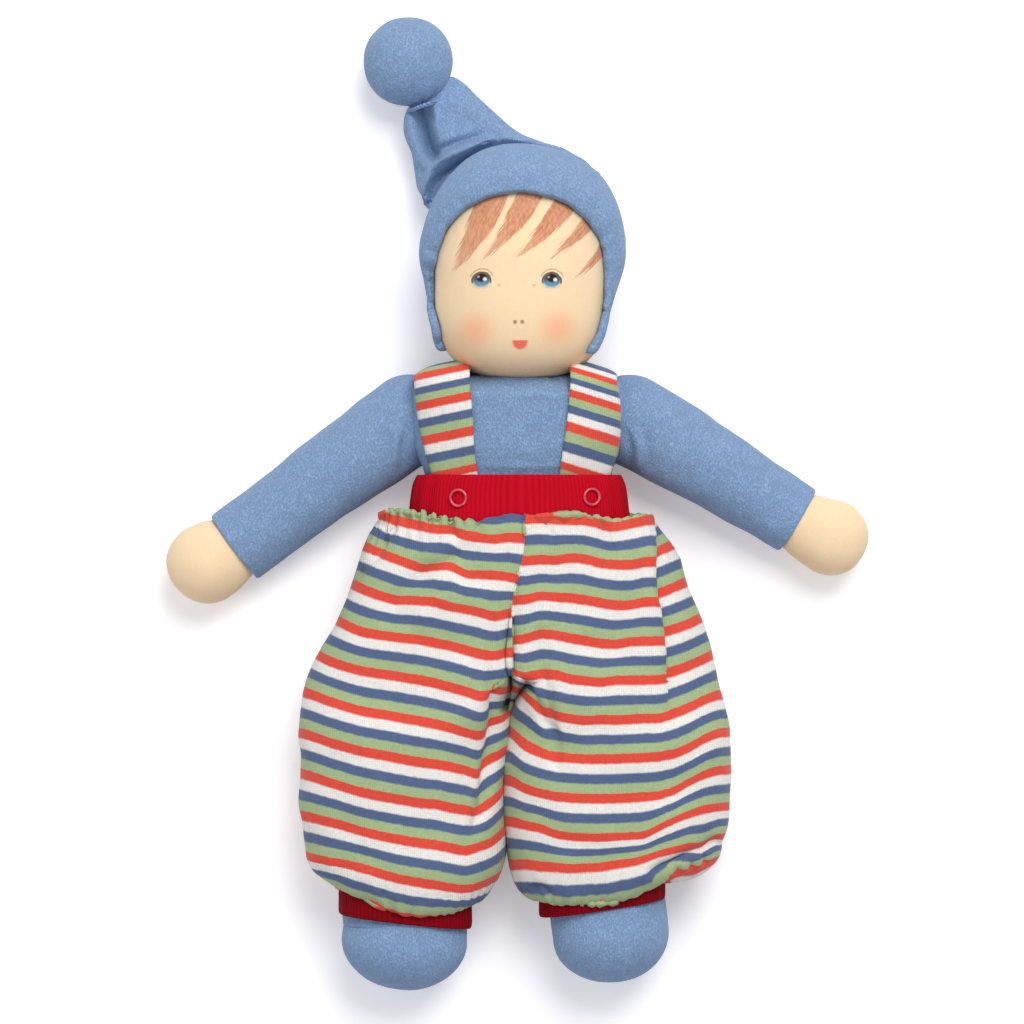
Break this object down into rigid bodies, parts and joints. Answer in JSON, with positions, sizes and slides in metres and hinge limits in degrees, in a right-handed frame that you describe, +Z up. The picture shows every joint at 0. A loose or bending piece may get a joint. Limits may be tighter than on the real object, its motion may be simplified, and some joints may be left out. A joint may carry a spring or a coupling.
{
  "type": "soft doll",
  "caption": "Soft cloth doll lying on its back, with a ball head, tied hands, a pointed hood with a ball at its tip, and gathered dungarees with press-stud straps.",
  "frame": {"origin": "middle of the doll's footprint, on the surface that it lies on", "axes": "+Z up out of the face, +Y towards the top of the head, +X towards the doll's own left hand"},
  "size_m": [0.2818, 0.39, 0.069],
  "materials": {
    "blue_velour": "short pile velour",
    "skin_tricot": "fine tricot",
    "wool": "carded wool",
    "thread": "linen thread",
    "red_rib": "rib knit",
    "striped_jersey": "striped jersey in red, white, blue and green",
    "snap_metal": "satin"
  },
  "bodies": {
    "torso": {"torso_cover": "blue_velour", "torso_stuffing": "wool", "waistband": "red_rib", "right_trouser_seat": "striped_jersey", "left_trouser_seat": "striped_jersey", "right_strap": "striped_jersey", "left_strap": "striped_jersey", "right_stud_front_ring": "snap_metal", "right_stud_socket": "snap_metal", "right_stud": "snap_metal", "right_stud_back_ring": "snap_metal", "left_stud_front_ring": "snap_metal", "left_stud_socket": "snap_metal", "left_stud": "snap_metal", "left_stud_back_ring": "snap_metal"},
    "head": {"head_core": "wool", "head_skin": "skin_tricot", "neck_tie": "thread", "hood": "blue_velour"},
    "hat_tip": {"hat_tip": "blue_velour"},
    "hat_ball": {"hat_tie": "thread", "hat_ball_cover": "blue_velour", "hat_ball_stuffing": "wool"},
    "right_arm": {"right_sleeve": "blue_velour", "right_arm_stuffing": "wool"},
    "right_hand": {"right_hand_skin": "skin_tricot", "right_hand_stuffing": "wool", "right_wrist_tie": "thread"},
    "right_leg": {"right_leg_cover": "blue_velour", "right_leg_stuffing": "wool", "right_ankle_cuff": "red_rib", "right_trouser_leg": "striped_jersey"},
    "left_arm": {"left_sleeve": "blue_velour", "left_arm_stuffing": "wool"},
    "left_hand": {"left_hand_skin": "skin_tricot", "left_hand_stuffing": "wool", "left_wrist_tie": "thread"},
    "left_leg": {"left_leg_cover": "blue_velour", "left_leg_stuffing": "wool", "left_ankle_cuff": "red_rib", "left_trouser_leg": "striped_jersey"}
  },
  "joints": [
    {"name": "head_turn", "type": "hinge", "parent": "torso", "child": "head", "pos_m": [0.0013, 0.04737, 0.036], "axis": [0, 1, 0], "range_deg": [-75, 75]},
    {"name": "hat_tip_swing", "type": "hinge", "parent": "head", "child": "hat_tip", "pos_m": [-0.0023, 0.13037, 0.018], "axis": [0, 0, 1], "range_deg": [-75, 20], "deforming": ["hat_tip"]},
    {"name": "hat_ball_swing", "type": "hinge", "parent": "hat_tip", "child": "hat_ball", "pos_m": [-0.0389, 0.16217, 0.018], "axis": [0, 0, 1], "range_deg": [-35, 35], "deforming": ["hat_tip"]},
    {"name": "right_arm_raise", "type": "hinge", "parent": "torso", "child": "right_arm", "pos_m": [-0.0433, 0.03357, 0.019], "axis": [0, 0, -1], "range_deg": [-20, 88], "deforming": ["right_sleeve", "right_arm_stuffing"]},
    {"name": "right_wrist_bend", "type": "hinge", "parent": "right_arm", "child": "right_hand", "pos_m": [-0.1133, -0.01743, 0.0156], "axis": [0, 0, -1], "range_deg": [-35, 35], "deforming": ["right_sleeve"]},
    {"name": "left_arm_raise", "type": "hinge", "parent": "torso", "child": "left_arm", "pos_m": [0.0437, 0.03357, 0.019], "axis": [0, 0, 1], "range_deg": [-20, 88], "deforming": ["left_sleeve", "left_arm_stuffing"]},
    {"name": "left_wrist_bend", "type": "hinge", "parent": "left_arm", "child": "left_hand", "pos_m": [0.1115, -0.00663, 0.0144], "axis": [0, 0, 1], "range_deg": [-35, 35], "deforming": ["left_sleeve"]},
    {"name": "right_hip_bend", "type": "hinge", "parent": "torso", "child": "right_leg", "pos_m": [-0.0248, -0.06863, 0.0225], "axis": [-1, 0, 0], "range_deg": [-25, 90], "deforming": ["right_trouser_leg", "right_trouser_seat"]},
    {"name": "left_hip_bend", "type": "hinge", "parent": "torso", "child": "left_leg", "pos_m": [0.0222, -0.06863, 0.0225], "axis": [-1, 0, 0], "range_deg": [-25, 90], "deforming": ["left_trouser_leg", "left_trouser_seat"]}
  ]
}
